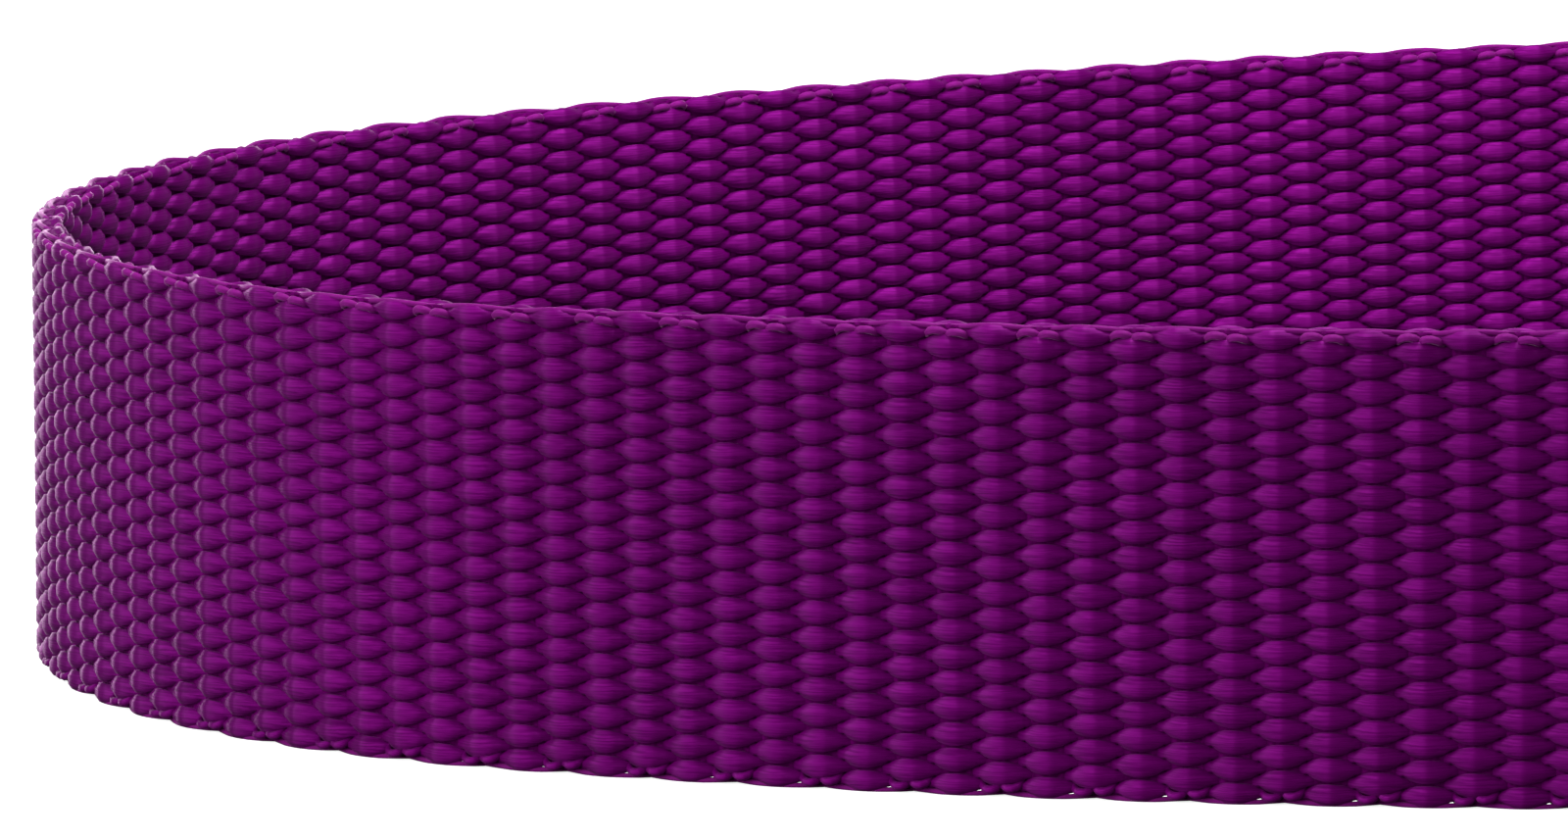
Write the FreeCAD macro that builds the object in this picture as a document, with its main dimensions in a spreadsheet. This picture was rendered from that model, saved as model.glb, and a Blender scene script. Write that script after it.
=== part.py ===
import FreeCAD, Part
import math
import os
import Sketcher

# Endless single-ply web sling, 25 mm webbing, standing on its edge as an open oval loop.
# +Z is up, +X runs along the loop, and the origin is under the middle of the overall footprint.
# The loop is an oval of four tangent arcs: a near and a far leg of side_radius, and a bight of
# end_radius at each end. Radii are to the middle of the webbing. Lengths along the near leg
# are measured along its middle line from the loop's centre, positive towards +X.

dims = {
    "web_width": 25.0,
    "web_thick": 1.8,
    "side_radius": 172.8,
    "end_radius": 54.0,
    "end_angle": 58.6,        # half of the angle that each bight turns through
    "far_gap": 0.3,           # space between the far leg and each bight, which move apart
    "lap_start": -14.0,       # where the inner end is cut
    "lap_length": 90.0,       # overlap that is sewn
    "ramp_length": 10.0,      # where the outer ply climbs over the inner end
    "thread_width": 0.8,
    "thread_proud": 0.4,
    "row_edge": 3.5,          # from the webbing's edge to the outer rows of stitches
    "row_count": 4.0,
    "tack_length": 3.0,
    "tack_inset": 1.5,        # from a cut end to its bar tack
    "tack_edge": 1.5,         # from the webbing's edge to a bar tack's end
    "label_width": 20.0,
    "label_thick": 0.5,
    "label_tuck": 12.0,
    "label_free": 38.0,
    "label_gap": 0.3,         # space between the free flap and what it lies beside
}

doc = FreeCAD.newDocument("WebSling")
sheet = doc.addObject("Spreadsheet::Sheet", "Dims")
for row, (alias, value) in enumerate(dims.items(), start=1):
    sheet.set("A%d" % row, alias)
    sheet.set("B%d" % row, str(value))
    sheet.setAlias("B%d" % row, alias)
doc.recompute()


def cells(text):
    """Turns the sheet's aliases in a formula into references to the sheet."""
    for alias in sorted(dims, key=len, reverse=True):
        text = text.replace(alias, "Dims." + alias)
    return text


# The four arcs' centres, and the middle line's radii of the two plies.
side_shift = "((side_radius - end_radius) * sin(end_angle * 1deg))"
end_shift = "((side_radius - end_radius) * cos(end_angle * 1deg))"
middle_y = "((web_thick + thread_proud) / 2)"
near_centre = ("0", middle_y + " + " + side_shift)
far_centre = ("0", middle_y + " - " + side_shift)
left_centre = ("-" + end_shift, middle_y)
right_centre = (end_shift, middle_y)
side_sweep = "(180 - 2 * end_angle)"
lap_end = "(lap_start + lap_length)"


def turn(length):
    """The angle, in degrees, that a length along a leg's middle line turns through."""
    return "((%s) / side_radius * 180 / pi)" % length


def place(part, centre, facing):
    """Puts a part's own origin at an arc's centre, with its +X turned to face an angle."""
    part.Placement = FreeCAD.Placement(FreeCAD.Vector(), FreeCAD.Rotation(FreeCAD.Vector(0, 0, 1), 1))
    part.setExpression("Placement.Base.x", cells(centre[0]))
    part.setExpression("Placement.Base.y", cells(centre[1]))
    part.setExpression("Placement.Rotation.Angle", cells(facing))


def new_sketch(body, role):
    """A sketch on one of the body's own origin planes."""
    plane = next(item for item in body.Origin.OriginFeatures if item.Role == role)
    sketch = body.newObject("Sketcher::SketchObject", body.Name + "_sketch")
    sketch.AttachmentSupport = [(plane, "")]
    sketch.MapMode = "FlatFace"
    return sketch


def four_sides(sketch, corners):
    """A closed four-sided outline, each corner fixed by a pair of formulas from the origin."""
    guess = [FreeCAD.Vector(x, y, 0) for x, y in ((10, 1), (20, 1), (20, 9), (10, 9))]
    for n in range(4):
        sketch.addGeometry(Part.LineSegment(guess[n], guess[(n + 1) % 4]), False)
    for n in range(4):
        sketch.addConstraint(Sketcher.Constraint("Coincident", n, 2, (n + 1) % 4, 1))
    for n, (across, up) in enumerate(corners):
        for axis, formula in (("X", across), ("Y", up)):
            at = guess[n].x if axis == "X" else guess[n].y
            index = sketch.addConstraint(Sketcher.Constraint("Distance" + axis, -1, 1, n, 1, at))
            sketch.setExpression("Constraints[%d]" % index, cells(formula))


def bent_strip(name, inner, outer, bottom, top, sweep, centre, facing):
    """A strip standing on edge and bent about a vertical axis, given as formulas."""
    body = doc.addObject("PartDesign::Body", name)
    body.Label = name
    sketch = new_sketch(body, "XZ_Plane")
    four_sides(sketch, [(inner, bottom), (outer, bottom), (outer, top), (inner, top)])
    bend = body.newObject("PartDesign::Revolution", name + "_bend")
    bend.Profile = sketch
    bend.ReferenceAxis = (sketch, ["V_Axis"])
    bend.Midplane = True
    bend.setExpression("Angle", cells(sweep))
    body.Tip = bend
    place(body, centre, facing)
    return body


def web_strip(name, radius, sweep, centre, facing):
    """A full-width run of webbing on an arc of the given middle radius."""
    half = "web_thick / 2"
    inner = "%s - %s" % (radius, half)
    outer = "%s + %s" % (radius, half)
    return bent_strip(name, inner, outer, "0", "web_width", sweep, centre, facing)


def near_strip(name, inner, outer, bottom, top, start, end):
    """A strip along the near leg, from one length along it to another."""
    sweep = turn("(%s) - (%s)" % (end, start))
    facing = "-90 + " + turn("((%s) + (%s)) / 2" % (start, end))
    return bent_strip(name, inner, outer, bottom, top, sweep, near_centre, facing)


leg_end = "(side_radius * %s / 2 * pi / 180)" % side_sweep
ramp_start = "(lap_start - ramp_length)"
inner_face = "side_radius - web_thick / 2"
lap_face = "side_radius + web_thick / 2"
outer_face = "side_radius + web_thick * 1.5"
label_low = "(web_width - label_width) / 2"
label_high = "(web_width + label_width) / 2"

# The strap, which is one length of webbing: near leg, left bight, far leg, right bight, inner ply.
bight_sweep = "(2 * end_angle - far_gap / end_radius * 180 / pi)"
bight_lean = "(far_gap / end_radius * 90 / pi)"
near_leg = near_strip("web_near_leg", inner_face, lap_face, "0", "web_width", "-" + leg_end, ramp_start)
left_bight = web_strip("web_left_bight", "end_radius", bight_sweep, left_centre, "180 + " + bight_lean)
far_leg = web_strip("web_far_leg", "side_radius", side_sweep, far_centre, "90")
right_bight = web_strip("web_right_bight", "end_radius", bight_sweep, right_centre, "-" + bight_lean)
inner_ply = near_strip("lap_inner_ply", inner_face, lap_face, "0", "web_width", "lap_start", leg_end)

# The outer ply lies on the inner one. A short ramp joins it to the near leg, and its end is
# hollowed where the label is tucked under it.
lap_strip = near_strip("lap_strip", lap_face, outer_face, "0", "web_width", "lap_start", lap_end)
ramp = doc.addObject("PartDesign::Body", "lap_ramp")
ramp_sketch = new_sketch(ramp, "XY_Plane")
ramp_turn = turn("ramp_length / 2") + " * 1deg"
ramp_corners = []
for radius, side in ((inner_face, "-"), (lap_face, "-"), (outer_face, ""), (lap_face, "")):
    across = "(%s) * cos(%s)" % (radius, ramp_turn)
    along = "%s(%s) * sin(%s)" % (side, radius, ramp_turn)
    ramp_corners.append((across, along))
four_sides(ramp_sketch, ramp_corners)
ramp_pad = ramp.newObject("PartDesign::Pad", "lap_ramp_pad")
ramp_pad.Profile = ramp_sketch
ramp_pad.setExpression("Length", cells("web_width"))
ramp.Tip = ramp_pad
place(ramp, near_centre, "-90 + " + turn("lap_start - ramp_length / 2"))
lap_whole = doc.addObject("Part::Fuse", "lap_whole")
lap_whole.Base = lap_strip
lap_whole.Tool = ramp

# The label: its tucked end is caught by the tack, and its free flap stands off along a tangent.
tuck_outer = lap_face + " + label_thick"
tuck_start = lap_end + " - label_tuck"
label_tuck = near_strip("label_tuck", lap_face, tuck_outer, label_low, label_high, tuck_start, lap_end)
outer_ply = doc.addObject("Part::Cut", "lap_outer_ply")
outer_ply.Label = "lap_outer_ply"
outer_ply.Base = lap_whole
outer_ply.Tool = label_tuck
flap = doc.addObject("PartDesign::Body", "label_flap")
flap.Label = "label_flap"
flap_sketch = new_sketch(flap, "XZ_Plane")
flap_inner = lap_face + " + label_gap"
flap_outer = flap_inner + " + label_thick"
four_sides(flap_sketch, [(flap_inner, label_low), (flap_outer, label_low), (flap_outer, label_high),
                         (flap_inner, label_high)])
flap_sketch.setExpression("AttachmentOffset.Base.z", cells("-(label_gap + label_free / 2)"))
flap_pad = flap.newObject("PartDesign::Pad", "label_flap_pad")
flap_pad.Profile = flap_sketch
flap_pad.Midplane = True
flap_pad.setExpression("Length", cells("label_free"))
flap.Tip = flap_pad
place(flap, near_centre, "-90 + " + turn(lap_end))

# Lockstitch seams: the needle thread shows on the outer ply, the bobbin thread on the inner one.
needle_side = (outer_face, outer_face + " + thread_proud")
bobbin_side = (inner_face + " - thread_proud", inner_face)
rows_start = "lap_start + tack_inset + tack_length"
rows_end = lap_end + " - tack_inset - tack_length"
threads = []
for row in range(int(dims["row_count"])):
    height = "(row_edge + %d * (web_width - 2 * row_edge) / (row_count - 1))" % row
    low = height + " - thread_width / 2"
    high = height + " + thread_width / 2"
    for thread, (inner, outer) in (("needle", needle_side), ("bobbin", bobbin_side)):
        name = "row_%d_%s_thread" % (row + 1, thread)
        threads.append(near_strip(name, inner, outer, low, high, rows_start, rows_end))
tack_low = "tack_edge"
tack_high = "web_width - tack_edge"
for side, start in (("left", "lap_start + tack_inset"), ("right", lap_end + " - tack_inset - tack_length")):
    for thread, (inner, outer) in (("needle", needle_side), ("bobbin", bobbin_side)):
        name = "%s_tack_%s_thread" % (side, thread)
        threads.append(near_strip(name, inner, outer, tack_low, tack_high, start, start + " + tack_length"))

doc.recompute()

sub_parts = [near_leg, left_bight, far_leg, right_bight, inner_ply, outer_ply, label_tuck, flap] + threads
for item in doc.Objects:
    if "Invalid" in item.State or "Error" in item.State:
        raise RuntimeError("%s did not build: %s" % (item.Name, item.State))
for item in sub_parts:
    if item.Shape.isNull() or not item.Shape.isValid() or len(item.Shape.Solids) != 1:
        raise RuntimeError("%s is not one good solid" % item.Label)

os.makedirs("parts", exist_ok=True)
for item in sub_parts:
    item.Shape.exportStep("parts/%s.step" % item.Label)
    box = item.Shape.BoundBox
    print("%-26s %8.1f mm3  %7.2f %7.2f %6.2f to %7.2f %7.2f %6.2f" % (
        item.Label, item.Shape.Volume, box.XMin, box.YMin, box.ZMin, box.XMax, box.YMax, box.ZMax))

end_turn = math.radians(dims["end_angle"])
legs = 2 * dims["side_radius"] * (math.pi - 2 * end_turn)
bights = 4 * dims["end_radius"] * end_turn
print("loop length along the middle line %.1f mm" % (legs + bights))
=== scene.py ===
import math

import bpy
from mathutils import Matrix, Vector


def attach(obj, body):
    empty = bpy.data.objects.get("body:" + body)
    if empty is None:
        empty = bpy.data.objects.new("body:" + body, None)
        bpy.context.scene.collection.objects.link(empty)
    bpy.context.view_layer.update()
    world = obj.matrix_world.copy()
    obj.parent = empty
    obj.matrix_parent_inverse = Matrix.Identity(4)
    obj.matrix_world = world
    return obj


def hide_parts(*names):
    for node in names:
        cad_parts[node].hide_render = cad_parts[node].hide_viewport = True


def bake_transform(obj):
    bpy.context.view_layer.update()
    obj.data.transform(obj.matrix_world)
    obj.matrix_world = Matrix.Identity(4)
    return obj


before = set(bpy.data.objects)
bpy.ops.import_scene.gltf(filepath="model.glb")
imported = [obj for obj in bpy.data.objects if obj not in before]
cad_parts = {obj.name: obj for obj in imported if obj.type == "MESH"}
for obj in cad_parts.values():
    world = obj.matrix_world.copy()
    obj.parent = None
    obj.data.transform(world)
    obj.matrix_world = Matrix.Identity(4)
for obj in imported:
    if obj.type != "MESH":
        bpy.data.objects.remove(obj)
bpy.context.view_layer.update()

mm = 0.001


# small helpers

def sayStage(text):
    print("web sling:", text)


def deselectAll():
    if bpy.context.object and bpy.context.object.mode != "OBJECT":
        bpy.ops.object.mode_set(mode="OBJECT")
    bpy.ops.object.select_all(action="DESELECT")


def pickOnly(piece):
    deselectAll()
    piece.select_set(True)
    bpy.context.view_layer.objects.active = piece


def nameIt(name):
    piece = bpy.context.object
    piece.name = name
    piece.data.name = name
    return piece


def applyAll(piece):
    pickOnly(piece)
    for modifier in list(piece.modifiers):
        bpy.ops.object.modifier_apply(modifier=modifier.name)


def settle(piece):
    # puts the place, turn and size into the mesh, so the object sits at the origin
    pickOnly(piece)
    bpy.ops.object.transform_apply(location=True, rotation=True, scale=True)


def cleanUp(piece, join=0.00001):
    pickOnly(piece)
    bpy.ops.object.mode_set(mode="EDIT")
    bpy.ops.mesh.select_all(action="SELECT")
    bpy.ops.mesh.remove_doubles(threshold=join)
    bpy.ops.mesh.select_all(action="SELECT")
    bpy.ops.mesh.normals_make_consistent(inside=False)
    bpy.ops.object.mode_set(mode="OBJECT")
    bpy.ops.object.shade_smooth()


def trimEnds(piece, start, end):
    # cuts everything before and after two places along X and closes the cuts
    pickOnly(piece)
    bpy.ops.object.mode_set(mode="EDIT")
    for place, way in ((start, -1), (end, 1)):
        bpy.ops.mesh.select_all(action="SELECT")
        bpy.ops.mesh.bisect(plane_co=(place, 0, 0), plane_no=(way, 0, 0), use_fill=True, clear_outer=True)
    bpy.ops.object.mode_set(mode="OBJECT")


def copyOf(piece, name):
    pickOnly(piece)
    bpy.ops.object.duplicate(linked=False)
    return nameIt(name)


def paint(piece, material):
    piece.data.materials.clear()
    piece.data.materials.append(material)


# the strap's path

# Lengths in millimetres, as the frame has them. Lengths along the near leg are on its
# middle line, from the loop's centre, positive towards +X.
strap = {
    "width": 25.0,
    "thick": 1.8,
    "sideRadius": 172.8,
    "endRadius": 54.0,
    "endAngle": 58.6,       # half of each bight's turn
    "middleY": 1.1,         # from the footprint's middle to the loop's, because the stitches stand out
    "lapStart": -14.0,
    "lapLength": 90.0,
    "rampLength": 10.0,
    "rampReach": 0.4,       # share of the ramp that the handles at its ends reach
    "rampExtra": 0.2,       # webbing that the climb takes over a level run
    "lean": -1.2,           # degrees, at the middle of the left bight; its top leans inwards
    "leanShares": (0.3, 0.8, 1.0, 0.8, 0.3),        # at the bight's five knots
    "pathSteps": 96,        # between two knots
    "meet": 0.01,           # closer than this, the ends of two arcs are one knot
}
endTurn = math.radians(strap["endAngle"])
sideTurn = math.pi / 2 - endTurn
sideShift = (strap["sideRadius"] - strap["endRadius"]) * math.sin(endTurn)
endShift = (strap["sideRadius"] - strap["endRadius"]) * math.cos(endTurn)
legHalf = strap["sideRadius"] * sideTurn
bightLength = strap["endRadius"] * 2 * endTurn
loopLength = 4 * legHalf + 2 * bightLength
lapEnd = strap["lapStart"] + strap["lapLength"]


def arcPoint(centre, radius, angle):
    return (centre[0] + radius * math.cos(angle), centre[1] + radius * math.sin(angle))


def addArc(points, centre, radius, start, end, cuts):
    # each point is its place, its direction and the length of its handles
    step = (end - start) / cuts
    handle = 4 / 3 * math.tan(step / 4) * radius
    for n in range(cuts + 1):
        angle = start + step * n
        way = (-math.sin(angle), math.cos(angle))
        points.append([arcPoint(centre, radius, angle), way, handle])


def buildPath(name, arcs):
    points = []
    for arc in arcs:
        run = []
        addArc(run, *arc)
        if points and math.dist(points[-1][0], run[0][0]) < strap["meet"]:
            points[-1].append(run[0][2])        # the handle that leads into the next arc
            run = run[1:]
        points.extend(run)
    deselectAll()
    bpy.ops.curve.primitive_bezier_curve_add(location=(0, 0, 0))
    path = nameIt(name)
    spline = path.data.splines[0]
    spline.bezier_points.add(len(points) - len(spline.bezier_points))
    for knot, point in zip(spline.bezier_points, points):
        place, way, before = point[0], point[1], point[2]
        after = point[3] if len(point) > 3 else before
        knot.handle_left_type = knot.handle_right_type = "FREE"
        knot.co = Vector((place[0], place[1], 0)) * mm
        knot.handle_left = knot.co - Vector((way[0], way[1], 0)) * before * mm
        knot.handle_right = knot.co + Vector((way[0], way[1], 0)) * after * mm
    path.data.dimensions = "3D"
    path.data.twist_mode = "Z_UP"
    path.data.resolution_u = strap["pathSteps"]
    path.hide_render = True
    return path


nearCentre = (0.0, strap["middleY"] + sideShift)
farCentre = (0.0, strap["middleY"] - sideShift)
leftCentre = (-endShift, strap["middleY"])
rightCentre = (endShift, strap["middleY"])


def nearAngle(length):
    return -math.pi / 2 + length / strap["sideRadius"]


outerRadius = strap["sideRadius"] + strap["thick"]
rampStart = strap["lapStart"] - strap["rampLength"]
strapPath = buildPath("strapPath", [
    (nearCentre, strap["sideRadius"], nearAngle(strap["lapStart"]), nearAngle(legHalf), 2),
    (rightCentre, strap["endRadius"], -endTurn, endTurn, 4),
    (farCentre, strap["sideRadius"], math.pi / 2 - sideTurn, math.pi / 2 + sideTurn, 3),
    (leftCentre, strap["endRadius"], math.pi - endTurn, math.pi + endTurn, 4),
    (nearCentre, strap["sideRadius"], nearAngle(-legHalf), nearAngle(rampStart), 1),
    (nearCentre, outerRadius, nearAngle(strap["lapStart"]), nearAngle(lapEnd), 2),
])
# the two knots at the ramp's ends take longer handles, so that the climb is a smooth S
knots = strapPath.data.splines[0].bezier_points
climbEnd = len(knots) - 3
for knot, side in ((knots[climbEnd - 1], "right"), (knots[climbEnd], "left")):
    way = (knot.handle_right - knot.handle_left).normalized() * strap["rampLength"] * strap["rampReach"] * mm
    if side == "right":
        knot.handle_right = knot.co + way
    else:
        knot.handle_left = knot.co - way
# the left bight's five knots come just before the near leg's last one, where the climb starts
for knot, share in zip(knots[climbEnd - 6:climbEnd - 1], strap["leanShares"]):
    knot.tilt = math.radians(strap["lean"]) * share
# the outer ply runs on a larger radius
strapLength = loopLength + strap["lapLength"] * outerRadius / strap["sideRadius"] + strap["rampExtra"]
sayStage("path %.1f mm round, %.1f mm of webbing" % (loopLength, strapLength))


# the sewn lap on the near leg; what lies past this path's end, the label's flap, runs straight on
lapPath = buildPath("lapPath", [
    (nearCentre, strap["sideRadius"], nearAngle(strap["lapStart"]), nearAngle(lapEnd), 2),
])


# material helpers

def linear(hexColour):
    channels = []
    for at in (1, 3, 5):
        value = int(hexColour[at:at + 2], 16) / 255
        channels.append(value / 12.92 if value <= 0.04045 else ((value + 0.055) / 1.055) ** 2.4)
    return (*channels, 1.0)


def addNode(tree, kind, settings=None, links=None):
    # one node, with its sockets' values or its own properties, and what feeds its inputs;
    # stops are the places and colours of a ramp's two ends
    node = tree.nodes.new(kind)
    for key, value in (settings or {}).items():
        if key == "stops":
            for element, (place, colour) in zip(node.color_ramp.elements, value):
                element.position = place
                element.color = linear(colour)
        elif isinstance(key, int) or key in node.inputs:
            node.inputs[key].default_value = value
        else:
            setattr(node, key, value)
    for key, source in (links or {}).items():
        tree.links.new(source, node.inputs[key])
    return node


def startMaterial(name):
    material = bpy.data.materials.new(name)
    material.use_nodes = True
    material.node_tree.nodes.clear()
    return material, material.node_tree


def finishMaterial(tree, settings, links):
    shader = addNode(tree, "ShaderNodeBsdfPrincipled", settings, links)
    addNode(tree, "ShaderNodeOutputMaterial", None, {"Surface": shader.outputs[0]})


# the webbing's yarn

weave = {
    "ends": 36,             # warp yarns across the width
    "repeat": 5.07,         # over one pick and under the next
    "shift": 1.8,           # slides the whole weave along the strap
    "floatWidth": 1.23,
    "widening": 0.65,       # how soon a float has its full width; less is sooner
    "crossWidth": 0.60,
    "floatThick": 0.62,
    "crossThick": 1.10,     # squeezed on edge between its neighbours where it changes faces
    "edgeWidth": 1.08,      # of the outermost ends
    "bottomBeaten": (1.0, 0.78),        # share of its width that the lowest end keeps, inside and outside
    "topBeaten": (0.9, 0.8),            # the same for the highest end
    "flatTop": 1.1,         # widens the flat of each face of the section
    "ringPhases": (0, 28, 54, 76, 104, 126, 152),       # degrees, in each half of the repeat
    "tent": 0.2,            # how far each float is a ridge and not a round hill
    "sides": 8,
    "strayUp": 0.10,        # how far floats stray from their places, across the strap and out of it
    "strayUpSize": 3.0,
    "strayOut": 0.06,
    "strayOutSize": 3.9,
}
weave["crimp"] = (strap["thick"] - weave["floatThick"]) / 2     # the middle line's swing to each face
weave["spacing"] = (strap["width"] - weave["edgeWidth"]) / (weave["ends"] - 1)
repeats = int(strapLength / weave["repeat"]) + 3


def endHeight(number):
    return weave["edgeWidth"] / 2 + number * weave["spacing"]


def yarnRing(phase):
    # the yarn's offset across the strap, thickness and width at a phase of the repeat, 0 at a crossing
    swing = math.sin(phase)
    ridge = 1 - abs(phase % math.pi - math.pi / 2) / (math.pi / 2)
    rise = weave["tent"] * ridge + (1 - weave["tent"]) * abs(swing)
    offset = weave["crimp"] * math.copysign(rise, swing)
    squeeze = (1 - swing * swing) ** 2
    wide = weave["crossWidth"] + (weave["floatWidth"] - weave["crossWidth"]) * abs(swing) ** weave["widening"]
    thick = weave["floatThick"] + (weave["crossThick"] - weave["floatThick"]) * squeeze
    return offset, thick, wide


def makeYarnRepeat(name):
    # one repeat of a warp yarn along +X, pulled out ring by ring from a circle
    deselectAll()
    bpy.ops.mesh.primitive_circle_add(vertices=weave["sides"], radius=0.5 * mm, fill_type="NOTHING",
                                      location=(0, 0, 0), rotation=(0, math.pi / 2, 0))
    yarn = nameIt(name)
    settle(yarn)
    yarn.rotation_euler.x = math.pi / weave["sides"]
    settle(yarn)
    across = 0.5 * math.cos(math.pi / weave["sides"])       # scaled below to a flat on each face
    for vertex in yarn.data.vertices:
        onFace = abs(vertex.co.y) > abs(vertex.co.z)
        vertex.co.y *= 0.5 / across if onFace else 1.0
        vertex.co.z *= weave["flatTop"] if onFace else 0.5 / across
    phases = [math.radians(angle + turned) for turned in (0, 180) for angle in weave["ringPhases"]]
    offset, thick, wide = yarnRing(0)
    before = 0
    bpy.ops.object.mode_set(mode="EDIT")
    bpy.ops.mesh.select_all(action="SELECT")
    bpy.ops.transform.resize(value=(1, thick, wide), center_override=(0, 0, 0))
    bpy.ops.transform.translate(value=(0, offset * mm, 0))
    for phase in phases[1:] + [2 * math.pi]:
        nextOffset, nextThick, nextWide = yarnRing(phase)
        place = weave["repeat"] * phase / (2 * math.pi)
        bpy.ops.mesh.extrude_region_move(TRANSFORM_OT_translate={
            "value": ((place - before) * mm, (nextOffset - offset) * mm, 0)})
        centre = (place * mm, nextOffset * mm, 0)
        bpy.ops.transform.resize(value=(1, nextThick / thick, nextWide / wide), center_override=centre)
        offset, thick, wide, before = nextOffset, nextThick, nextWide, place
    bpy.ops.object.mode_set(mode="OBJECT")
    return yarn


def unrollYarn(piece, length):
    # U runs along the yarn in repeats, V once round it
    layer = piece.data.uv_layers.new(name="yarn")
    sameRing = 1e-7
    for face in piece.data.polygons:
        corners = [piece.data.vertices[piece.data.loops[i].vertex_index].co for i in face.loop_indices]
        rounds = []
        for corner in corners:
            ring = [v.co for v in piece.data.vertices if abs(v.co.x - corner.x) < sameRing]
            centre = sum(ring, Vector()) / len(ring)
            rounds.append(math.atan2(corner.z - centre.z, corner.y - centre.y) / (2 * math.pi) + 0.5)
        if max(rounds) - min(rounds) > 0.5:
            rounds = [value + 1 if value < 0.5 else value for value in rounds]
        for i, corner, value in zip(face.loop_indices, corners, rounds):
            layer.data[i].uv = (corner.x / length, value)


def repeatPiece(piece, count, step, name):
    array = piece.modifiers.new(name, "ARRAY")
    array.count = count
    array.use_relative_offset = False
    array.use_constant_offset = True
    array.constant_offset_displace = step
    return array


def makeUneven(piece, name, strength, size, direction):
    # soft cloud noise that pushes the yarns a little out of their places
    noise = bpy.data.textures.new(name, "CLOUDS")
    noise.noise_scale = size * mm
    noise.noise_depth = 1
    push = piece.modifiers.new(name, "DISPLACE")
    push.texture = noise
    push.texture_coords = "LOCAL"
    push.direction = direction
    push.strength = strength * mm
    push.mid_level = 0.5


def bendToPath(piece, path):
    bend = piece.modifiers.new("bend", "CURVE")
    bend.object = path
    bend.deform_axis = "POS_X"


def squeezeEnd(piece, number, inner, outer):
    # an outermost end keeps one share of its width on its inner side and another on its outer side
    middle = endHeight(number) * mm
    reach = weave["spacing"] * mm
    for vertex in piece.data.vertices:
        away = vertex.co.z - middle
        if abs(away) < reach:
            isOuter = (away > 0) == (number > 0)
            vertex.co.z = middle + away * (outer if isOuter else inner)


def finishWoven(piece):
    # stray a little, cut at both ends of the strap, and bend round the loop
    makeUneven(piece, "strayUp", weave["strayUp"], weave["strayUpSize"], "Z")
    makeUneven(piece, "strayOut", weave["strayOut"], weave["strayOutSize"], "Y")
    applyAll(piece)
    trimEnds(piece, 0, strapLength * mm)
    bendToPath(piece, strapPath)
    applyAll(piece)
    cleanUp(piece)


sayStage("weaving %d repeats of %d ends" % (repeats, weave["ends"]))
yarnRepeat = makeYarnRepeat("yarnRepeat")
unrollYarn(yarnRepeat, weave["repeat"] * mm)

webPieces = []
bands = 3
bandEnds = weave["ends"] // bands
for band in range(bands):
    for side in range(2):
        warp = copyOf(yarnRepeat, "web_warp_%d%s" % (band + 1, "ab"[side]))
        start = weave["shift"] - (1 + side) * weave["repeat"] / 2
        warp.location = (start * mm, 0, endHeight(band * bandEnds + side) * mm)
        settle(warp)
        along = repeatPiece(warp, repeats, (weave["repeat"] * mm, 0, 0), "along")
        along.use_merge_vertices = True
        along.merge_threshold = 0.00001
        along.offset_u = 1.0
        across = repeatPiece(warp, bandEnds // 2, (0, 0, 2 * weave["spacing"] * mm), "across")
        across.offset_v = 1.0
        applyAll(warp)
        if band == 0 and side == 0:
            squeezeEnd(warp, 0, *weave["bottomBeaten"])
        if band == bands - 1 and side == 1:
            squeezeEnd(warp, weave["ends"] - 1, *weave["topBeaten"])
        finishWoven(warp)
        webPieces.append(warp)
bpy.data.objects.remove(yarnRepeat)
sayStage("%d triangles in a warp piece" % (2 * len(webPieces[0].data.polygons)))


# weft and selvedges

weft = {
    "pickWidth": 3.0,       # along the strap; several flat yarns side by side in each shed
    "pickThick": 0.5,
    "fullBy": 0.4,          # how far inside its turns a pick has its full width
    "turnThick": 0.9,
    "turnOut": (0.15, 0.25),        # how far past a pick's end its turn starts, and reaches
    "turnCorner": 0.35,     # of a quarter repeat, from a turn's start to its full reach
    "turnHeight": 24.7,     # where the weft turns back over the outermost end
    "inset": 0.16,          # from the webbing's edge to the weft
    "loopThick": 0.44,
    "loopGap": 0.56,        # half of the space between a pick's two selvedge loops
    "loopDrop": 0.1,        # how much lower the second of them lies
    # a loop's points: along the strap, out from its middle, in from its edge, and thickness where it thins
    "loopShape": ((-0.62, 0.1, 0.75, 0.25), (-0.5, 0.5, 0.5), (0, 0.74, 0.34), (0.5, 0.5, 0.5),
                  (0.62, 0.1, 0.75, 0.25)),
    "catchThick": 0.3,      # the thread that locks the loops along the edge
    "catchIn": 0.1,         # how far inside the edge its middle lies
    "topDuck": 0.2,         # how much deeper it lies behind the loops
    "bottomDuck": 0.06,
}


def tube(name, points, thick, sides=8, steps=3):
    # a round yarn along a smooth line; each point may carry its own thickness as a fourth number
    deselectAll()
    bpy.ops.curve.primitive_nurbs_path_add(location=(0, 0, 0))
    line = nameIt(name)
    line.data.splines.clear()
    spline = line.data.splines.new("NURBS")
    spline.points.add(len(points) - 1)
    for knot, point in zip(spline.points, points):
        knot.co = (point[0] * mm, point[1] * mm, point[2] * mm, 1)
        knot.radius = point[3] / thick if len(point) > 3 else 1
    spline.order_u = 3
    spline.use_endpoint_u = True
    spline.resolution_u = steps
    line.data.dimensions = "3D"
    line.data.bevel_depth = thick / 2 * mm
    line.data.bevel_resolution = sides // 2 - 2         # Blender makes 4 sides and 2 for each step
    line.data.use_fill_caps = True
    line.data.twist_mode = "MINIMUM"
    bpy.ops.object.convert(target="MESH")
    mesh = bpy.context.object
    for layer in mesh.data.uv_layers:
        layer.name = "yarn"
    return mesh


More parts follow.
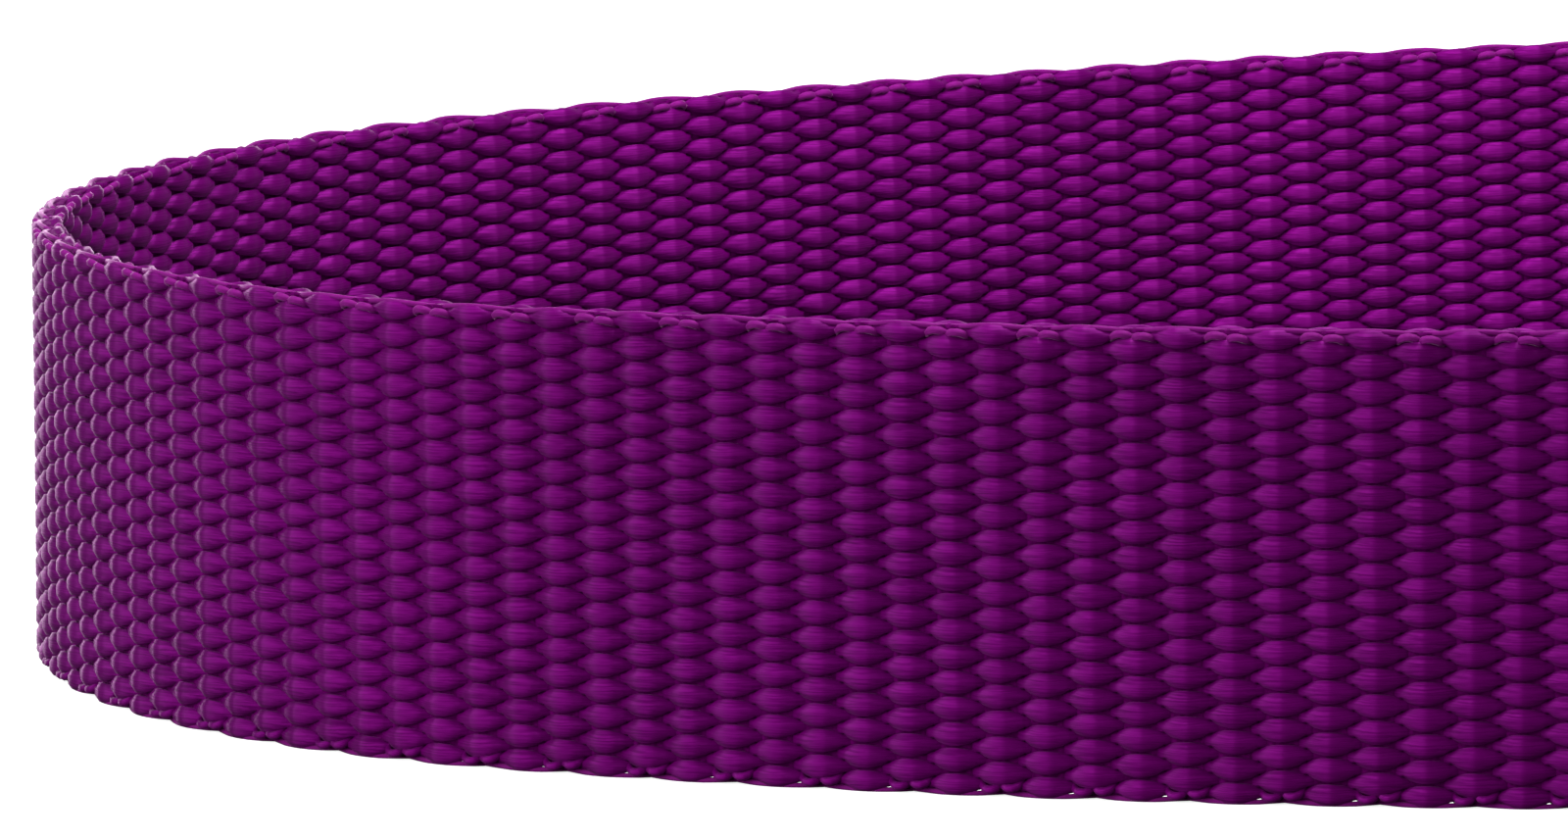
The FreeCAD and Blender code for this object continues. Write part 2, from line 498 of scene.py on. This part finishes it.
def weftPoints():
    # over one repeat: a pick up, a turn over the top end, a pick down and a turn under the bottom end
    quarter = weave["repeat"] / 4
    first = weave["shift"] + quarter - weave["repeat"]
    low, high = strap["width"] - weft["turnHeight"], weft["turnHeight"]
    wide, thin = weft["pickWidth"], weft["turnThick"]
    near, far = weft["turnOut"]
    corner = weft["turnCorner"] * quarter
    points = []
    for x, begin, end, out in ((first, low, high, 1), (first + 2 * quarter, high, low, -1)):
        after = x + 2 * quarter
        for height in (begin, begin + out * weft["fullBy"], end - out * weft["fullBy"], end):
            points.append((x, 0, height, wide))
        points.append((x, 0, end + out * near, thin))
        points.append((x + corner, 0, end + out * far, thin))
        points.append((after - corner, 0, end + out * far, thin))
        points.append((after, 0, end + out * near, thin))
    points.append((first + weave["repeat"], 0, low, wide))
    return points


serpent = tube("web_weft", weftPoints(), weft["pickWidth"], sides=6)
halfThick = weft["pickThick"] / 2 * mm
lowest, highest = weft["inset"] * mm, (strap["width"] - weft["inset"]) * mm
# beaten flat between the warp's two layers, and held in at the edges
for vertex in serpent.data.vertices:
    vertex.co.y = max(-halfThick, min(halfThick, vertex.co.y))
    vertex.co.z = max(lowest, min(highest, vertex.co.z))
repeatPiece(serpent, repeats - 1, (weave["repeat"] * mm, 0, 0), "along")
applyAll(serpent)
finishWoven(serpent)
webPieces.append(serpent)


def selvedgeLoops(name, top):
    # weft loops that lie over the edge in pairs, front and back, beside each float of the outermost end
    edge = strap["width"] if top else 0.0
    inward = -1 if top else 1
    frontPhase = 0.25 if top else 0.75
    parts = []
    for face in (-1, 1):
        phase = frontPhase if face < 0 else frontPhase + 0.5
        for side in (-1, 1):
            x = weave["shift"] + weave["repeat"] * (phase - 1) + side * weft["loopGap"]
            drop = weft["loopDrop"] if side > 0 else 0.0
            points = []
            for along, out, deep, *thick in weft["loopShape"]:
                points.append((x + along, out * face, edge + inward * (deep + drop), *thick))
            parts.append(tube(name, points, weft["loopThick"], sides=6, steps=2))
    deselectAll()
    for part in parts:
        part.select_set(True)
    bpy.context.view_layer.objects.active = parts[0]
    bpy.ops.object.join()
    edging = nameIt(name)
    repeatPiece(edging, repeats - 1, (weave["repeat"] * mm, 0, 0), "along")
    applyAll(edging)
    finishWoven(edging)
    return edging


def catchThread(name, top):
    # the thread that locks the loops runs over each float of the outermost end and ducks behind the loops
    edge = strap["width"] if top else 0.0
    inward = -1 if top else 1
    step = weave["repeat"]
    x = weave["shift"] + step * ((0.25 if top else 0.75) - 1)
    crest = edge + inward * weft["catchIn"]
    duck = crest + inward * (weft["topDuck"] if top else weft["bottomDuck"])
    # from behind one pair of loops, over the float, to behind the next pair
    thread = tube(name, [
        (x, 0.1, duck),
        (x + 0.2 * step, -0.25, (crest + duck) / 2),
        (x + 0.38 * step, -0.45, crest),
        (x + 0.62 * step, -0.45, crest),
        (x + 0.8 * step, -0.25, (crest + duck) / 2),
        (x + step, 0.1, duck),
    ], weft["catchThick"], sides=6, steps=2)
    repeatPiece(thread, repeats - 1, (step * mm, 0, 0), "along")
    applyAll(thread)
    finishWoven(thread)
    return thread


topLoops = selvedgeLoops("web_top_selvedge_loops", True)
bottomLoops = selvedgeLoops("web_bottom_selvedge_loops", False)
topCatch = catchThread("web_top_catch_thread", True)
bottomCatch = catchThread("web_bottom_catch_thread", False)
webPieces.extend([topLoops, bottomLoops, topCatch, bottomCatch])
sayStage("weft and selvedges, %d and %d triangles" % (
    2 * len(serpent.data.polygons), 2 * len(topLoops.data.polygons)))


yarnLook = {
    "violet": "#730270",
    "violetDeep": "#580155",
    "highlight": "#FF36FC",
    "highlightLow": "#86188A",
    "sheen": "#F090EE",
    "fuzz": 0.1,
    "gloss": 1.0,
    "filament": 0.11,       # real filaments are 0.02 to 0.03 mm, drawn coarser so that they show
    "filamentPieces": 1.6,  # how often a filament changes in one repeat
    "yarnRound": 3.2,       # round a float
    "toneShares": (0.55, 0.2, 0.25),        # of filaments, of each float and of the dye's slow drift
    "dyeDrift": 9.0,
}
# the selvedge's finer threads are hairier and shine less; their paler colours are partly the thread's own and
# partly painted light, for the white floor's light on the fuzzy edge
selvedgePaintedLightLook = dict(yarnLook, violet="#93208C", violetDeep="#6E0F6A", sheen="#FFB4F4", fuzz=0.4, gloss=0.3,
                    yarnRound=1.3)


def makeWebMaterial(name, look):
    # dyed polyester multifilament yarn: deep violet, glossy along its filaments and dull across them
    material, tree = startMaterial(name)
    yarnMap = addNode(tree, "ShaderNodeUVMap", {"uv_map": "yarn"})
    place = addNode(tree, "ShaderNodeTexCoord")
    tangent = addNode(tree, "ShaderNodeTangent", {"direction_type": "UV_MAP", "uv_map": "yarn"})
    lines = look["yarnRound"] / look["filament"]
    alongYarn = addNode(tree, "ShaderNodeMapping", {"Scale": (look["filamentPieces"], lines, 1)},
                        {"Vector": yarnMap.outputs[0]})
    filaments = addNode(tree, "ShaderNodeTexNoise", {
        "noise_dimensions": "2D", "Scale": 1.0, "Detail": 2.0, "Roughness": 0.6},
        {"Vector": alongYarn.outputs[0]})
    eachFloat = addNode(tree, "ShaderNodeVectorMath", {"operation": "MULTIPLY", 1: (2, 1, 0)},
                        {0: yarnMap.outputs[0]})
    eachFloat = addNode(tree, "ShaderNodeVectorMath", {"operation": "FLOOR"}, {0: eachFloat.outputs[0]})
    floatTone = addNode(tree, "ShaderNodeTexWhiteNoise", {"noise_dimensions": "2D"},
                        {"Vector": eachFloat.outputs[0]})
    cloud = addNode(tree, "ShaderNodeTexNoise", {"Scale": 1 / (look["dyeDrift"] * mm), "Detail": 2.0},
                    {"Vector": place.outputs["Object"]})
    filamentShare, floatShare, cloudShare = look["toneShares"]
    tone = addNode(tree, "ShaderNodeMath", {"operation": "MULTIPLY", 1: filamentShare},
                   {0: filaments.outputs[0]})
    tone = addNode(tree, "ShaderNodeMath", {"operation": "MULTIPLY_ADD", 1: floatShare}, {
        0: floatTone.outputs[0], 2: tone.outputs[0]})
    tone = addNode(tree, "ShaderNodeMath", {"operation": "MULTIPLY_ADD", 1: cloudShare}, {
        0: cloud.outputs[0], 2: tone.outputs[0]})
    colour = addNode(tree, "ShaderNodeValToRGB", {
        "stops": ((0.25, look["violetDeep"]), (0.75, look["violet"]))}, {"Fac": tone.outputs[0]})
    streaks = addNode(tree, "ShaderNodeValToRGB", {
        "stops": ((0.34, look["highlightLow"]), (0.6, look["highlight"]))}, {"Fac": filaments.outputs[0]})
    gloss = addNode(tree, "ShaderNodeMapRange", {
        "From Min": 0.3, "From Max": 0.7, "To Min": 0.52, "To Max": 0.42}, {"Value": filaments.outputs[0]})
    relief = addNode(tree, "ShaderNodeBump", {"Strength": 0.35, "Distance": 0.03 * mm},
                     {"Height": filaments.outputs[0]})
    finishMaterial(tree, {
        "Anisotropic": 1.0,
        "Anisotropic Rotation": 0.25,
        "IOR": 1.64,
        "Specular IOR Level": look["gloss"],
        "Sheen Weight": look["fuzz"],
        "Sheen Tint": linear(look["sheen"]),
        "Sheen Roughness": 0.25,
    }, {"Tangent": tangent.outputs[0], "Base Color": colour.outputs[0], "Roughness": gloss.outputs[0],
        "Specular Tint": streaks.outputs[0], "Normal": relief.outputs[0]})
    return material


# painted shade: the weft's colours are darkened for the shade it lies in between the warp yarns
paintedShadeWeftLook = {
    "violet": "#70026C",
    "violetDeep": "#4E014A",
    "highlight": "#A000A0",
    "strand": 0.3,
}


def makePaintedShadeWeftMaterial():
    # the weft is the same polyester; it lies deep between the warp yarns, and its colours are painted shade,
    # darkened almost to black-violet for the shade there
    material, tree = startMaterial("violetPolyesterWeftPaintedShade")
    place = addNode(tree, "ShaderNodeTexCoord")
    strands = addNode(tree, "ShaderNodeTexNoise", {"Scale": 1 / (paintedShadeWeftLook["strand"] * mm), "Detail": 2.0},
                      {"Vector": place.outputs["Object"]})
    colour = addNode(tree, "ShaderNodeValToRGB", {
        "stops": ((0.3, paintedShadeWeftLook["violetDeep"]), (0.7, paintedShadeWeftLook["violet"]))}, {"Fac": strands.outputs[0]})
    finishMaterial(tree, {
        "Roughness": 0.8, "Specular IOR Level": 0.15, "Specular Tint": linear(paintedShadeWeftLook["highlight"])},
        {"Base Color": colour.outputs[0]})
    return material


webMaterial = makeWebMaterial("violetPolyesterYarn", yarnLook)
selvedgePaintedLightMaterial = makeWebMaterial("violetPolyesterSelvedgePaintedLight", selvedgePaintedLightLook)
paintedShadeWeftMaterial = makePaintedShadeWeftMaterial()
webNodes = ("web_near_leg", "web_left_bight", "web_far_leg", "web_right_bight",
            "lap_inner_ply", "lap_outer_ply")
for piece in webPieces:
    if piece is serpent:
        # the weft takes its colours darkened as painted shade
        paint(piece, paintedShadeWeftMaterial)
    # the top loops and both catch threads take the paler selvedge colours, partly painted light; the bottom
    # loops, which face down, keep the deeper yarn colours
    elif piece in (topLoops, topCatch, bottomCatch):
        paint(piece, selvedgePaintedLightMaterial)
    else:
        paint(piece, webMaterial)
    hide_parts(*webNodes)
    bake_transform(piece)


# the sewn lap

stitching = {
    "pitch": 3.0,           # lockstitch length
    "thick": 0.78,
    "proud": 0.4,
    "crestIn": 0.36,        # of its thickness, from the top of a stitch to its middle line
    "sink": 0.55,           # how far below the cloth's face a stitch dives
    "pressed": 0.86,        # what the sewing foot leaves of a stitch's height
    "stray": 0.22,
    "straySize": 2.3,
    "rowHeights": (3.5, 9.5, 15.5, 21.5),
    "rowStart": 4.5,        # from the lap's start
    "rowEnd": 85.5,
    "tackInset": 1.5,
    "tackLength": 3.0,
    "tackLow": 1.5,
    "tackHigh": 23.5,
    "tackRoom": (0.4, 0.3),         # left free at its low and its high end
    "tackPitch": 1.1,
    "tackThick": 0.624,
    "tackEdge": 0.15,       # from a tack's side to where its thread turns
    "tackDive": 0.3,        # how far below the cloth's face it turns
    "tackRise": 0.1,        # how far above the face it crosses
    "tackEase": 0.12,       # share of a crossing in which it comes up
}
lapLength = strap["lapLength"]
faces = {       # each thread's side of the lap: the cloth's face, and the way out from it
    "needle": (-1.5 * strap["thick"], -1),
    "bobbin": (0.5 * strap["thick"], 1),
}


def sewnRow(name, height, thread):
    # one stitch, a flattened arch that dives into the cloth at both ends, repeated along the row
    face, out = faces[thread]
    pitch = stitching["pitch"]
    crest = face + out * (stitching["proud"] - stitching["thick"] * stitching["crestIn"])
    deep = face - out * stitching["sink"]
    begin = stitching["rowStart"] + (0 if thread == "needle" else pitch / 2)
    count = int((stitching["rowEnd"] - begin) / pitch)
    row = tube(name, [
        (begin + 0.12, deep, height, 0.5),
        (begin + 0.16, face - out * 0.1, height, 0.62),
        (begin + 0.45, crest, height),
        (begin + pitch / 2, crest + out * 0.03, height, 0.86),
        (begin + pitch - 0.45, crest, height),
        (begin + pitch - 0.16, face - out * 0.1, height, 0.62),
        (begin + pitch - 0.12, deep, height, 0.5),
    ], stitching["thick"], sides=8, steps=2)
    for vertex in row.data.vertices:
        vertex.co.y = (face + (vertex.co.y / mm - face) * stitching["pressed"]) * mm
    repeatPiece(row, count, (pitch * mm, 0, 0), "along")
    applyAll(row)
    makeUneven(row, "stitchStray", stitching["stray"], stitching["straySize"], "Z")
    bendToPath(row, lapPath)
    applyAll(row)
    cleanUp(row)
    return row


def barTack(name, begin, thread):
    # one thread to and fro across the cut end, diving at each turn
    face, out = faces[thread]
    left = begin + stitching["tackEdge"]
    right = begin + stitching["tackLength"] - stitching["tackEdge"]
    rise, ease = stitching["tackPitch"] / 2, stitching["tackEase"]
    dive, crest = face - out * stitching["tackDive"], face + out * stitching["tackRise"]
    points = []
    height = stitching["tackLow"] + stitching["tackRoom"][0]
    while height < stitching["tackHigh"] - stitching["tackRoom"][1]:
        run = right - left
        points.append((left, dive, height, 0.5))
        points.append((left + run * ease, crest, height + rise * ease))
        points.append((left + run * (1 - ease), crest, height + rise * (1 - ease)))
        points.append((right, dive, height + rise, 0.5))
        height += rise
        left, right = right, left
    tack = tube(name, points, stitching["tackThick"], sides=6, steps=2)
    bendToPath(tack, lapPath)
    applyAll(tack)
    cleanUp(tack)
    return tack


threadLook = {
    "pale": "#F0EDE4",
    "shadow": "#CBC6BA",
    "plyTwist": 1.1,        # along the thread for each ply that shows
    "twistAngle": 38,
    "hair": 0.15,
}
waveRate = 3.2      # bands that a Wave texture has in one unit at scale 1


def makeThreadMaterial():
    # bonded polyester sewing thread, three plies twisted: creamy white, a soft waxy gloss on each ply
    material, tree = startMaterial("bondedPolyesterThread")
    place = addNode(tree, "ShaderNodeTexCoord")
    plies = addNode(tree, "ShaderNodeMapping", {
        "Rotation": (0, math.radians(threadLook["twistAngle"]), 0), "Scale": (1, 0.2, 1)},
        {"Vector": place.outputs["Object"]})
    twist = addNode(tree, "ShaderNodeTexWave", {
        "Scale": 1 / (threadLook["plyTwist"] * mm) / waveRate, "Distortion": 0.6, "Detail": 1.0},
        {"Vector": plies.outputs[0]})
    hairs = addNode(tree, "ShaderNodeTexNoise", {"Scale": 1 / (threadLook["hair"] * mm), "Detail": 2.0},
                    {"Vector": place.outputs["Object"]})
    colour = addNode(tree, "ShaderNodeMix", {"data_type": "RGBA"})
    colour.inputs[6].default_value = linear(threadLook["shadow"])
    colour.inputs[7].default_value = linear(threadLook["pale"])
    tree.links.new(twist.outputs["Fac"], colour.inputs[0])
    height = addNode(tree, "ShaderNodeMath", {"operation": "MULTIPLY_ADD", 1: 0.3}, {
        0: hairs.outputs[0], 2: twist.outputs["Fac"]})
    relief = addNode(tree, "ShaderNodeBump", {"Strength": 0.6, "Distance": 0.06 * mm},
                     {"Height": height.outputs[0]})
    finishMaterial(tree, {"Roughness": 0.5, "Sheen Weight": 0.15},
                   {"Base Color": colour.outputs[2], "Normal": relief.outputs[0]})
    return material


threadMaterial = makeThreadMaterial()
for number, height in enumerate(stitching["rowHeights"], start=1):
    for thread in faces:
        row = sewnRow("stitch_row_%d_%s" % (number, thread), height, thread)
        paint(row, threadMaterial)
        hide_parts("row_%d_%s_thread" % (number, thread))
        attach(row, "strap")
tackStarts = {
    "left": stitching["tackInset"],
    "right": lapLength - stitching["tackInset"] - stitching["tackLength"],
}
for end, begin in tackStarts.items():
    for thread in faces:
        tack = barTack("stitch_%s_tack_%s" % (end, thread), begin, thread)
        paint(tack, threadMaterial)
        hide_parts("%s_tack_%s_thread" % (end, thread))
        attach(tack, "strap")
sayStage("lap sewn")


# heat-cut ends

cutEnd = {
    "length": 0.9,          # how far the yarns are melted together
    "thick": 1.7,
    "short": 0.7,           # than the strap's width
    "round": 0.28,
    "slices": 50,           # cuts along the bead that let it bulge
    "bulge": 0.24,
    "bulgeSize": 1.1,
    "violet": "#660A64",
    "violetDeep": "#38023A",
    "burr": 0.6,
}


def meltedEnd(name, start, middle):
    # the bead where a hot knife cut and sealed the strap
    deselectAll()
    place = ((start + cutEnd["length"] / 2) * mm, middle * mm, strap["width"] / 2 * mm)
    bpy.ops.mesh.primitive_cube_add(size=1, location=place)
    bead = nameIt(name)
    bead.scale = (cutEnd["length"] * mm, cutEnd["thick"] * mm, (strap["width"] - cutEnd["short"]) * mm)
    settle(bead)
    bpy.ops.object.mode_set(mode="EDIT")
    bpy.ops.mesh.select_all(action="SELECT")
    bpy.ops.mesh.bevel(offset=cutEnd["round"] * mm, segments=3, affect="EDGES")
    for number in range(1, cutEnd["slices"]):
        height = strap["width"] * number / cutEnd["slices"] * mm
        bpy.ops.mesh.select_all(action="SELECT")
        bpy.ops.mesh.bisect(plane_co=(0, 0, height), plane_no=(0, 0, 1))
    bpy.ops.object.mode_set(mode="OBJECT")
    makeUneven(bead, name + "Lumps", cutEnd["bulge"], cutEnd["bulgeSize"], "NORMAL")
    bendToPath(bead, lapPath)
    applyAll(bead)
    cleanUp(bead)
    return bead


def makeMeltMaterial():
    # polyester melted by the hot knife: the same violet gone darker, hard and glassy, with small burrs
    material, tree = startMaterial("meltedPolyester")
    place = addNode(tree, "ShaderNodeTexCoord")
    burrs = addNode(tree, "ShaderNodeTexNoise", {"Scale": 1 / (cutEnd["burr"] * mm), "Detail": 3.0},
                    {"Vector": place.outputs["Object"]})
    colour = addNode(tree, "ShaderNodeValToRGB", {
        "stops": ((0.3, cutEnd["violetDeep"]), (0.7, cutEnd["violet"]))}, {"Fac": burrs.outputs[0]})
    relief = addNode(tree, "ShaderNodeBump", {"Strength": 0.5, "Distance": 0.1 * mm},
                     {"Height": burrs.outputs[0]})
    finishMaterial(tree, {"Roughness": 0.3, "IOR": 1.57},
                   {"Base Color": colour.outputs[0], "Normal": relief.outputs[0]})
    return material


meltMaterial = makeMeltMaterial()
for name, start, middle in (("inner_cut_end", 0.0, 0.0),
                            ("outer_cut_end", lapLength - cutEnd["length"], -strap["thick"])):
    bead = meltedEnd(name, start, middle)
    paint(bead, meltMaterial)
    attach(bead, "strap")
sayStage("cut ends sealed")


# label

label = {
    "width": 20.0,
    "tuck": 12.0,
    "free": 38.0,
    "thick": 0.34,
    "gap": 0.3,
    "lift": 0.2,            # how much farther than the gap the free flap stands off
    "easeOut": 8,           # it reaches that in one eighth of its length
    "wave": 0.5,            # how far the free flap waves
    "border": 1.4,          # from its edge to the woven line
    "endBorder": 2.2,
    "lineHalf": 0.3,        # half of the line's width
    "cuts": (100, 24),      # along and across
}


def makeLabel():
    # a strip of label ribbon: tucked between the plies, then out past the seam and straight on
    deselectAll()
    total = label["tuck"] + label["free"]
    tuckMiddle = -strap["thick"] / 2 - label["thick"] / 2
    flapMiddle = -strap["thick"] / 2 - label["gap"] - label["thick"] / 2
    bpy.ops.mesh.primitive_grid_add(x_subdivisions=label["cuts"][0], y_subdivisions=label["cuts"][1], size=1,
                                    location=(0, 0, 0), rotation=(math.pi / 2, 0, 0))
    ribbon = nameIt("label")
    ribbon.scale = (total * mm, label["width"] * mm, 1)
    ribbon.location = ((lapLength - label["tuck"] + total / 2) * mm, 0, strap["width"] / 2 * mm)
    settle(ribbon)
    layer = ribbon.data.uv_layers.active
    layer.name = "cloth"
    for face in ribbon.data.polygons:
        for i in face.loop_indices:
            corner = ribbon.data.vertices[ribbon.data.loops[i].vertex_index].co
            layer.data[i].uv = ((corner.x / mm - lapLength + label["tuck"]) / total,
                                (corner.z / mm - strap["width"] / 2) / label["width"] + 0.5)
    # the free part waves slowly along its length, and its corners twist a little
    for vertex in ribbon.data.vertices:
        free = max(0.0, (vertex.co.x / mm - lapLength) / label["free"])
        ease = min(1.0, free * label["easeOut"])
        across = (vertex.co.z / mm - strap["width"] / 2) / label["width"]
        wave = label["wave"] * ease * (0.5 * math.sin(5.5 * free + 0.6) + 0.7 * across * math.sin(3.1 * free))
        lift = tuckMiddle + (flapMiddle - label["lift"] - tuckMiddle) * ease * ease * (3 - 2 * ease)
        vertex.co.y = (lift - abs(wave)) * mm
    wall = ribbon.modifiers.new("wall", "SOLIDIFY")
    wall.thickness = label["thick"] * mm
    wall.offset = 0
    bendToPath(ribbon, lapPath)
    applyAll(ribbon)
    bevel = ribbon.modifiers.new("softEdge", "BEVEL")
    bevel.width = 0.1 * mm
    bevel.segments = 2
    bevel.limit_method = "ANGLE"
    applyAll(ribbon)
    pickOnly(ribbon)
    bpy.ops.object.shade_smooth_by_angle(angle=math.radians(40))
    return ribbon


labelLook = {
    "blue": "#1E4E86",
    "blueDeep": "#153A68",
    "line": "#D8DCE2",
    "rib": 0.35,            # between picks of the satin
    "endShare": 0.6875,     # of that between its ends
}


def makeLabelMaterial():
    # woven satin ribbon: blue with a pale woven border line, a soft even gloss, blank
    material, tree = startMaterial("wovenSatinRibbon")
    flat = addNode(tree, "ShaderNodeUVMap", {"uv_map": "cloth"})
    sized = addNode(tree, "ShaderNodeVectorMath", {
        "operation": "MULTIPLY", 1: (label["tuck"] + label["free"], label["width"], 0)}, {0: flat.outputs[0]})
    apart = addNode(tree, "ShaderNodeSeparateXYZ", None, {0: sized.outputs[0]})
    ribScale = 1 / labelLook["rib"] / waveRate
    ribs = addNode(tree, "ShaderNodeTexWave", {"Scale": ribScale, "Distortion": 0.4, "Detail": 1.0},
                   {"Vector": sized.outputs[0]})
    ends = addNode(tree, "ShaderNodeTexWave", {
        "bands_direction": "Y", "Scale": ribScale / labelLook["endShare"], "Distortion": 0.5, "Detail": 1.0},
        {"Vector": sized.outputs[0]})
    grain = addNode(tree, "ShaderNodeMath", {"operation": "MULTIPLY"},
                    {0: ribs.outputs["Fac"], 1: ends.outputs["Fac"]})
    cloth = addNode(tree, "ShaderNodeMix", {"data_type": "RGBA"})
    cloth.inputs[6].default_value = linear(labelLook["blueDeep"])
    cloth.inputs[7].default_value = linear(labelLook["blue"])
    tree.links.new(grain.outputs[0], cloth.inputs[0])

    def nearLine(value, place):
        # 1 on a woven line at a place, else 0
        off = addNode(tree, "ShaderNodeMath", {"operation": "SUBTRACT", 1: place}, {0: value})
        off = addNode(tree, "ShaderNodeMath", {"operation": "ABSOLUTE"}, {0: off.outputs[0]})
        near = addNode(tree, "ShaderNodeMath", {"operation": "LESS_THAN", 1: label["lineHalf"]},
                       {0: off.outputs[0]})
        return near.outputs[0]

    total = label["tuck"] + label["free"]
    top = nearLine(apart.outputs[1], label["width"] - label["border"])
    bottom = nearLine(apart.outputs[1], label["border"])
    end = nearLine(apart.outputs[0], total - label["endBorder"])
    both = addNode(tree, "ShaderNodeMath", {"operation": "MAXIMUM"}, {0: top, 1: bottom})
    lines = addNode(tree, "ShaderNodeMath", {"operation": "MAXIMUM"}, {0: both.outputs[0], 1: end})
    colour = addNode(tree, "ShaderNodeMix", {"data_type": "RGBA"})
    colour.inputs[7].default_value = linear(labelLook["line"])
    tree.links.new(lines.outputs[0], colour.inputs[0])
    tree.links.new(cloth.outputs[2], colour.inputs[6])
    relief = addNode(tree, "ShaderNodeBump", {"Strength": 0.5, "Distance": 0.05 * mm},
                     {"Height": grain.outputs[0]})
    finishMaterial(tree, {"Roughness": 0.48, "Sheen Weight": 0.2},
                   {"Base Color": colour.outputs[2], "Normal": relief.outputs[0]})
    return material


ribbon = makeLabel()
paint(ribbon, makeLabelMaterial())
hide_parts("label_tuck", "label_flap")
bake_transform(ribbon)
sayStage("label")


# studio

studio = {
    "cameraPlace": (-0.0905, -0.6492, 0.10235),
    "cameraYaw": -1.49,
    "cameraPitch": -7.91,
    "cameraRoll": -1.38,
    "lens": 262.9,
    "worldLight": 0.22,     # on the sling; the camera sees the full white
    "floorGlow": 0.82,      # only the camera sees this
    "floorThrow": 0.18,     # what the floor throws back at the sling
    "floorWhite": 0.9,
    # softboxes: azimuth to the left from the front, rise, distance, width, height and brightness
    "key": (60, 15, 0.9, 1.4, 1.2, 2.0),
    "rim": (165, 4, 0.9, 1.2, 0.5, 2.9),
    "rimColour": (1.0, 0.82, 0.97),     # a faint pink, which gives the rims their mauve
    "boxAim": (-0.06, -0.06, 0.012),    # on the near leg
    # the top softbox: place, aim, width, height and power
    "top": ((-0.01, -0.03, 0.20), (-0.01, 0.07, 0.01), 0.20, 0.10, 0.52),
}

deselectAll()
bpy.ops.object.camera_add(location=studio["cameraPlace"])
camera = nameIt("camera")
turn = Matrix.Rotation(math.radians(studio["cameraYaw"]), 3, "Z")
tip = Matrix.Rotation(math.radians(90 + studio["cameraPitch"]), 3, "X")
roll = Matrix.Rotation(math.radians(studio["cameraRoll"]), 3, "Z")
camera.rotation_euler = (turn @ tip @ roll).to_euler()
camera.data.lens = studio["lens"]
camera.data.sensor_width = 36
camera.data.clip_start = 0.01
camera.data.clip_end = 20
bpy.context.scene.camera = camera

deselectAll()
bpy.ops.mesh.primitive_plane_add(size=30, location=(0, 0, 0))
floor = nameIt("floor")
floorMaterial, floorTree = startMaterial("whiteStudioBoard")
# matt white board, lit from below; what it throws back is kept low, as by black flags round a set
seen = addNode(floorTree, "ShaderNodeLightPath")
board = addNode(floorTree, "ShaderNodeMapRange", {
    "To Min": studio["floorThrow"], "To Max": studio["floorWhite"]}, {"Value": seen.outputs[0]})
glow = addNode(floorTree, "ShaderNodeMath", {"operation": "MULTIPLY", 1: studio["floorGlow"]},
               {0: seen.outputs[0]})
finishMaterial(floorTree, {"Roughness": 0.9, "Specular IOR Level": 0.0, "Emission Color": linear("#FFFFFF")},
               {"Base Color": board.outputs[0], "Emission Strength": glow.outputs[0]})
paint(floor, floorMaterial)


def addSoftbox(name, place, aim, width, height, power):
    deselectAll()
    bpy.ops.object.light_add(type="AREA", location=place)
    light = bpy.context.object
    light.name = name
    light.data.shape = "RECTANGLE"
    light.data.size = width
    light.data.size_y = height
    light.data.energy = power
    way = Vector(aim) - Vector(place)
    light.rotation_euler = way.to_track_quat("-Z", "Y").to_euler()
    light.visible_camera = False
    return light


def boxAt(name, azimuth, rise, distance, width, height, radiance):
    # a softbox that faces the near leg; its power follows from its size and brightness
    aim = Vector(studio["boxAim"])
    angle, up = math.radians(azimuth), math.radians(rise)
    way = Vector((-math.sin(angle) * math.cos(up), -math.cos(angle) * math.cos(up), math.sin(up)))
    power = radiance * width * height * math.pi
    return addSoftbox(name, aim + way * distance, aim, width, height, power)


boxAt("keySoftbox", *studio["key"])
rim = boxAt("leftRearSoftbox", *studio["rim"])
rim.data.color = studio["rimColour"]
addSoftbox("topSoftbox", *studio["top"])

world = bpy.data.worlds.new("studioWorld")
bpy.context.scene.world = world
world.use_nodes = True
sky = world.node_tree.nodes["Background"]
sky.inputs["Color"].default_value = (1, 1, 1, 1)
looked = addNode(world.node_tree, "ShaderNodeLightPath")
skyLight = addNode(world.node_tree, "ShaderNodeMapRange", {"To Min": studio["worldLight"], "To Max": 1.0},
                   {"Value": looked.outputs[0]})
world.node_tree.links.new(skyLight.outputs[0], sky.inputs["Strength"])
bpy.context.scene.view_settings.view_transform = "Standard"
sayStage("studio")
